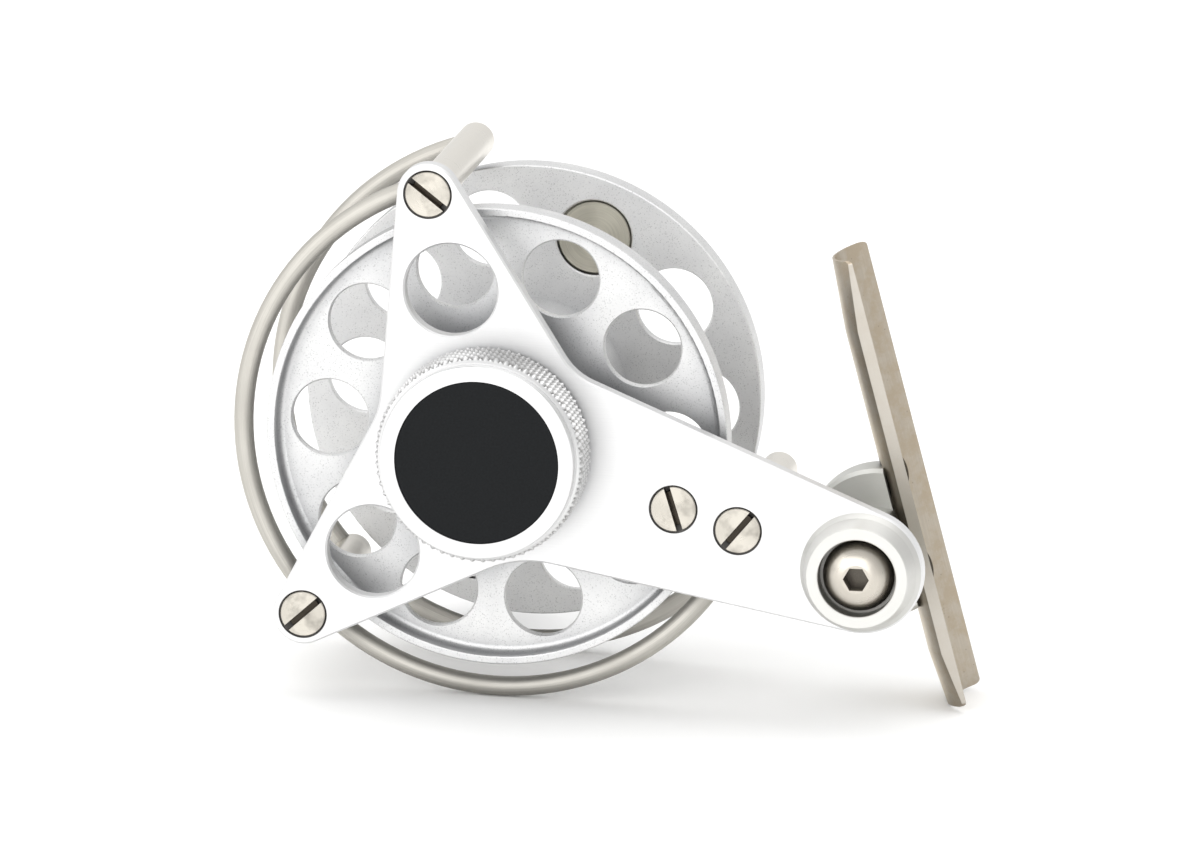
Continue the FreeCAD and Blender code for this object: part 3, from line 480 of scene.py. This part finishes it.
def foot_sheet(name, colour, roughness=0.40):
    """Warm stainless sheet with a soft lengthwise grain, mottled; painted shade in its countersinks."""
    n = Nodes(name)
    drawn = n.place(scale=(0.16 * MM, 0.16 * MM, 6 * MM), turn=(0, -FOOT_TILT, 0))
    lines = n.noise(drawn, 1.0, 3.0, 0.6)
    grain = n.noise(n.coords, 3800.0)
    cloud = n.noise(n.coords, 330.0, 5.0, 0.65)
    pits = n.specks(1300.0, 0.18, 500.0, (0.55, 0.63))
    highlight_band, edges, cut = foot_parts(n)
    # Painted shade in the countersinks of the foot's screws
    sink_shade = n.below(n.axis_distance(foot_sinks(), FOOT_OUT), FOOT_SINK_R, 0.93)
    rusty = tuple(c * share for c, share in zip(colour, (0.86, 0.81, 0.74)))
    n.bump(lines, 0.14, FINE)
    n.bump(grain, 0.24, FINER)
    tone = n.blend(n.vary(lines), shade(colour, 0.88), colour)
    tone = n.blend(n.above(cloud, (0.42, 0.60), 0.9), tone, rusty)
    tone = n.blend(n.times(pits, 0.5), tone, shade(colour, 0.4))
    # Painted shade in the foot's crevices
    tone = n.blend(n.times(n.crevice(6.0 * MM), 0.60), tone, shade(colour, 0.25))
    # A painted highlight down the middle of the back
    tone = n.blend(n.times(highlight_band, 0.8), tone, shade(colour, 1.45))
    # Painted dark reflections along the back's long edges
    tone = n.blend(n.times(edges, 0.55), tone, shade(colour, 0.20))
    tone = n.blend(n.times(cut, 0.75), tone, FOOT_CUT_FACE)
    tone = n.blend(sink_shade, tone, DARK_PAINTED_SHADE)
    return n.finish(tone, n.plus(n.vary(grain, roughness - 0.03, roughness + 0.05),
                                 n.vary(cloud, -0.04, 0.04)))


def black_satin(name, colour, centre, roughness=0.42):
    """Black composite with a fine grain and faint turning rings."""
    n = Nodes(name)
    rings = tool_lines(n, n.round_about(n.place(offset=centre)), 2600.0, 0.4, 0.5)
    grain = n.noise(n.coords, 3500.0, 3.0, 0.6)
    n.bump(rings, 0.05, FINE)
    n.bump(grain, 0.12, FINE)
    tone = n.blend(n.above(grain, (0.35, 0.7)), shade(colour, 0.75), shade(colour, 1.2))
    rough = n.vary(rings, roughness - 0.04, roughness + 0.05)
    return n.finish(tone, rough, metallic=0.0, specular=0.12)


def pressed_cork(name, colour):
    n = Nodes(name)
    grains = n.cells(900.0)
    fine = n.noise(n.coords, 2600.0, 4.0, 0.7)
    n.bump(grains, 0.5, 0.1 * MM)
    n.bump(fine, 0.4, 0.06 * MM)
    tone = n.blend(n.above(grains, (0.1, 0.7)), colour, shade(colour, 0.55))
    tone = n.blend(n.above(fine, (0.55, 0.75), 0.8), tone, shade(colour, 0.35))
    return n.finish(tone, n.vary(fine, 0.75, 0.92), metallic=0.0)


def moulded_nylon(name, colour):
    n = Nodes(name)
    grain = n.noise(n.coords, 4000.0)
    n.bump(grain, 0.15, FINE)
    tone = n.blend(n.vary(n.noise(n.coords, 900.0, 3.0)), shade(colour, 0.92), colour)
    return n.finish(tone, n.vary(grain, 0.40, 0.52), metallic=0.0)


# ---------------------------------------------------------------- which piece is made of what

ON_SPOOL_AXIS = ("arbor", "knob_inset", "drag_knob", "knob_screw", "spool_screw", "spindle_nut")
BEARING_PIECES = ("front_bearing", "rear_bearing", "spindle")
SPRING_PIECES = ("pawl_clip", "pawl_spring", "brake_disc", "drag_pins", "pressure_plate", "click_gear",
                 "click_pawl")
made = {}


def shared(name, build):
    """A material that several nodes share, built once."""
    if name not in made:
        made[name] = build(name)
    return made[name]


def tool_centre(node):
    """The point that a piece's tool lines run round."""
    if node in ON_SPOOL_AXIS:
        return ON_AXIS
    if node == "foot_screws":
        return PIVOT
    return middle(node)


def guard_wire(name):
    return drawn_wire(name, GUARD)


def bearing_steel(name):
    return turned_metal(name, BEARING, [ON_AXIS], roughness=0.16, groove=0.05)


def spring_steel(name):
    return turned_metal(name, SPRING, [ON_AXIS], roughness=0.24)


def plate_screws(name):
    return turned_metal(name, PLATE_SCREW, screw_centres(), roughness=0.30, groove=0.04,
                        painted_shade_share=deep_slot, spread=0.8)


def make_turned(node):
    """The material of a CAD node that has a turned finish of its own."""
    at = [tool_centre(node)]
    if node.endswith("_pillar"):
        return turned_metal("guard_" + node, PILLAR, at, roughness=0.32, groove=0.08)
    if node == "counterweight":
        return turned_metal("weight_steel", WEIGHT, at, roughness=0.34, groove=0.18, contrast=0.22,
                            spread=0.5)
    if node == "drag_follower":
        return turned_metal("gear_brass", BRASS, [ON_AXIS], roughness=0.30, groove=0.12)
    if node == "arm_end_collar":
        return turned_metal("turned_arm_end_collar", COLLAR, [PIVOT_FRONT], roughness=0.44, groove=0.04,
                            crevice_shade=0.3, painted_shade_share=cup_painted_shade)
    if node == "foot_boss":
        return turned_metal("turned_foot_boss", BOSS, [PIVOT_FRONT], roughness=0.44, groove=0.04, crevice_shade=0.3)
    if node == "arbor":
        return turned_metal("turned_arbor", shade(ALUMINIUM, 1.2), at, roughness=0.20, groove=0.04, crevice_shade=0.0)
    if node in ("spool_screw", "handle_boss"):
        return turned_metal("turned_" + node, ALUMINIUM, at, roughness=0.32, groove=0.08)
    if node == "foot_bolt":
        return turned_metal("screw_foot_bolt", BOLT_STEEL, [PIVOT_FRONT], roughness=0.30, groove=0.08,
                            crevice_shade=0.15, painted_shade_share=bolt_painted_shade)
    return turned_metal("screw_" + node, SCREW, at)


def make(node):
    """The material of one CAD node."""
    if node == "frame_plate":
        return brushed_plate("plate_aluminium")
    if node in ("front_flange", "rear_flange"):
        return shared("flange_aluminium", blasted)
    if node in ("front_line_guard", "rear_line_guard"):
        return shared("guard_wire", guard_wire)
    if node in BEARING_PIECES:
        return shared("bearing_steel", bearing_steel)
    if node in SPRING_PIECES:
        return shared("spring_steel", spring_steel)
    if node in ("pillar_screws", "pawl_screw"):
        return shared("plate_screws", plate_screws)
    if node == "foot_plate":
        return foot_sheet("foot_sheet", FOOT)
    if node == "knob_inset":
        return black_satin("black_inset", BLACK, tool_centre(node))
    if node == "handle_knob":
        return black_satin("handle_black", shade(BLACK, 1.2), tool_centre(node), roughness=0.36)
    if node == "cork_ring":
        return pressed_cork("cork", CORK)
    if node == "foot_washer":
        return moulded_nylon("nylon", NYLON)
    return make_turned(node)


for name, node in frame["nodes"].items():
    node.data.materials.clear()
    node.data.materials.append(make(name))


# ---------------------------------------------------------------- drag knob

# Millimetres from the spool's axis, and along it from the plate's front face
KNURLS = 62                    # diamonds round the rim
KNURL_ROW = 1.50               # length of a diamond along the axis
KNURL_DEPTH = 0.55
KNURL_CREST_R = 13.97
KNURL_CUT_OFF = 0.82           # height at which a diamond's point is cut off flat
STEPS = 8                      # mesh steps to a diamond, each way
CONE_R, CONE_Y = 13.24, -7.46  # where the cone before the knurl starts
CONE_SLOPE = 1.30
BACK_R, BACK_Y = 13.3, -0.5    # the knob's back edge
BACK_SLOPE = 0.75
SHARP_ANGLE = math.radians(18)
FRONT_PROFILE = [(10.95, -8.9), (12.78, -8.9), (12.89, -8.855), (12.93, -8.75), (12.93, -7.53),
                 (12.96, -7.5), (13.18, -7.5)]
INNER_PROFILE = [(11.8, BACK_Y), (11.8, -5.2), (6.5, -5.2), (6.5, -2.1), (2.54, -2.1),
                 (2.54, -6.6), (4.3, -6.6), (4.3, -7.8), (10.95, -7.8)]


def knurl_painted_shade(n, radius, along):
    """Painted shade in the knob's knurled grooves, by their depth below the crests."""
    cone = n.math("MULTIPLY_ADD", along, CONE_SLOPE, (CONE_R - CONE_SLOPE * CONE_Y) * MM)
    crest = n.math("MINIMUM", cone, KNURL_CREST_R * MM)
    depth = n.math("SUBTRACT", crest, radius)
    behind_cone = n.above(along, ((CONE_Y + 0.1) * MM, (CONE_Y + 0.3) * MM))
    before_back = n.below(along, ((BACK_Y - 0.9) * MM, (BACK_Y - 0.5) * MM))
    return n.times(n.times(behind_cone, before_back), n.above(depth, (0.08 * MM, 0.50 * MM), 0.54))


def knurl_height(along, turn):
    """Height of a crossed V knurl: 1 on a diamond's flat top, 0 in a groove."""
    def ridge(t):
        return 1.0 - abs(2.0 * (t - math.floor(t)) - 1.0)
    return min(ridge(turn + along), ridge(turn - along), KNURL_CUT_OFF) / KNURL_CUT_OFF


def knob_radius(y, turn):
    """Outer radius of the knurl, of the cone before it and of the chamfer behind it."""
    cone = CONE_R + (y - CONE_Y) * CONE_SLOPE
    chamfer = BACK_R + (BACK_Y - y) * BACK_SLOPE
    knurl = KNURL_CREST_R - KNURL_DEPTH * (1.0 - knurl_height(y / KNURL_ROW, turn))
    return min(cone, chamfer, knurl)


def knob_rings():
    """Closed rings of (radius, y) from the face, over the knurled rim, to the inside."""
    columns = KNURLS * STEPS
    length = BACK_Y - CONE_Y
    rows = int(round(length / KNURL_ROW * STEPS)) + 1
    rings = [[corner] * columns for corner in FRONT_PROFILE]
    for k in range(rows + 1):
        y = CONE_Y + length * k / rows
        rings.append([(knob_radius(y, i / STEPS), y) for i in range(columns)])
    return rings + [[corner] * columns for corner in INNER_PROFILE]


def ring_verts(mesh, ring):
    verts = []
    for i, (radius, y) in enumerate(ring):
        angle = 2 * math.pi * i / len(ring)
        x, z = radius * math.cos(angle), radius * math.sin(angle)
        verts.append(mesh.verts.new(ON_FRONT + Vector((x, y, z)) * MM))
    return verts


def build_knob():
    """The drag knob, turned to the CAD's profile with a diamond knurl pressed into its rim."""
    mesh = bmesh.new()
    rings = [ring_verts(mesh, ring) for ring in knob_rings()]
    for a, b in zip(rings, rings[1:] + rings[:1]):
        for i in range(len(a)):
            j = (i + 1) % len(a)
            mesh.faces.new((a[i], a[j], b[j], b[i]))
    bmesh.ops.recalc_face_normals(mesh, faces=mesh.faces)
    data = bpy.data.meshes.new("drag_knob_knurled")
    mesh.to_mesh(data)
    mesh.free()
    data.polygons.foreach_set("use_smooth", [True] * len(data.polygons))
    data.set_sharp_from_angle(angle=SHARP_ANGLE)
    knob = bpy.data.objects.new("drag_knob_knurled", data)
    bpy.context.scene.collection.objects.link(knob)
    return knob


knob = build_knob()
knob.data.materials.append(turned_metal("turned_drag_knob", ALUMINIUM, [ON_FRONT], roughness=0.34,
                                        groove=0.05, painted_shade_share=knurl_painted_shade))
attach(knob, "drag_knob")
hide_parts("drag_knob")


# ---------------------------------------------------------------- studio

FLOOR_HALF = 6.0
WORLD_STRENGTH = 0.88
SOFTBOXES = {                  # place, width and height, radiance
    "front": ((-0.35, -1.42, 0.50), (2.0, 1.2), 1.55),
    "top": ((0.0, 0.20, 1.10), (1.5, 1.2), 1.05),
    "left": ((-1.15, -0.45, 0.60), (1.0, 0.9), 0.9),
}
CAMERA_AZIMUTH = math.radians(10.187)
CAMERA_ELEVATION = math.radians(13.729)
CAMERA_ROLL = math.radians(1.0)
CAMERA_DISTANCE = 1.5
CAMERA_LENS = 342.33           # millimetres, as is the sensor's width
CAMERA_SENSOR = 36.0
CAMERA_CLIP = (0.05, 50.0)
TARGET_FROM_AXIS = Vector((0.014897, 0.0, 0.002771))


def build_floor():
    """Plain pale floor, a large sheet with a trace of paper tooth."""
    s = FLOOR_HALF
    mesh = bpy.data.meshes.new("floor")
    mesh.from_pydata([(-s, -s, 0), (s, -s, 0), (s, s, 0), (-s, s, 0)], [], [(0, 1, 2, 3)])
    floor = bpy.data.objects.new("floor", mesh)
    floor.location.z = cad_low.z
    bpy.context.scene.collection.objects.link(floor)
    n = Nodes("floor_paper")
    n.bump(n.noise(n.coords, 900.0), 0.02, 0.1 * MM)
    floor.data.materials.append(n.finish(PAPER, 0.7, metallic=0.0))


def softbox(name, place, size, radiance):
    """A rectangular light that faces the spool."""
    light = bpy.data.lights.new(name, "AREA")
    light.shape = "RECTANGLE"
    light.size, light.size_y = size
    light.energy = radiance * math.pi * size[0] * size[1]
    lamp = bpy.data.objects.new(name, light)
    lamp.location = place
    lamp.rotation_euler = (ON_AXIS - Vector(place)).to_track_quat("-Z", "Y").to_euler()
    bpy.context.scene.collection.objects.link(lamp)


def build_light():
    """An even white surround with three large softboxes in it."""
    world = bpy.data.worlds.new("studio")
    bpy.context.scene.world = world
    world.use_nodes = True
    background = world.node_tree.nodes["Background"]
    background.inputs["Color"].default_value = (1.0, 1.0, 1.0, 1.0)
    background.inputs["Strength"].default_value = WORLD_STRENGTH
    for name, (place, size, radiance) in SOFTBOXES.items():
        softbox(name, place, size, radiance)
    bpy.context.scene.view_settings.view_transform = "Standard"
    bpy.context.scene.view_settings.look = "None"


def build_camera():
    """Long lens from the front, a little right of and above the spool's axis."""
    az, el = CAMERA_AZIMUTH, CAMERA_ELEVATION
    back = Vector((math.sin(az) * math.cos(el), -math.cos(az) * math.cos(el), math.sin(el)))
    right = Vector((math.cos(az), math.sin(az), 0))
    roll = Matrix.Rotation(-CAMERA_ROLL, 3, "Y")
    rest = Matrix((right, back.cross(right), back)).transposed()
    place = roll @ (TARGET_FROM_AXIS + back * CAMERA_DISTANCE) + ON_FRONT
    data = bpy.data.cameras.new("camera")
    data.lens = CAMERA_LENS
    data.sensor_width = CAMERA_SENSOR
    data.clip_start, data.clip_end = CAMERA_CLIP
    camera = bpy.data.objects.new("camera", data)
    camera.matrix_world = Matrix.Translation(place) @ (roll @ rest).to_4x4()
    bpy.context.scene.collection.objects.link(camera)
    bpy.context.scene.camera = camera


build_floor()
build_light()
build_camera()
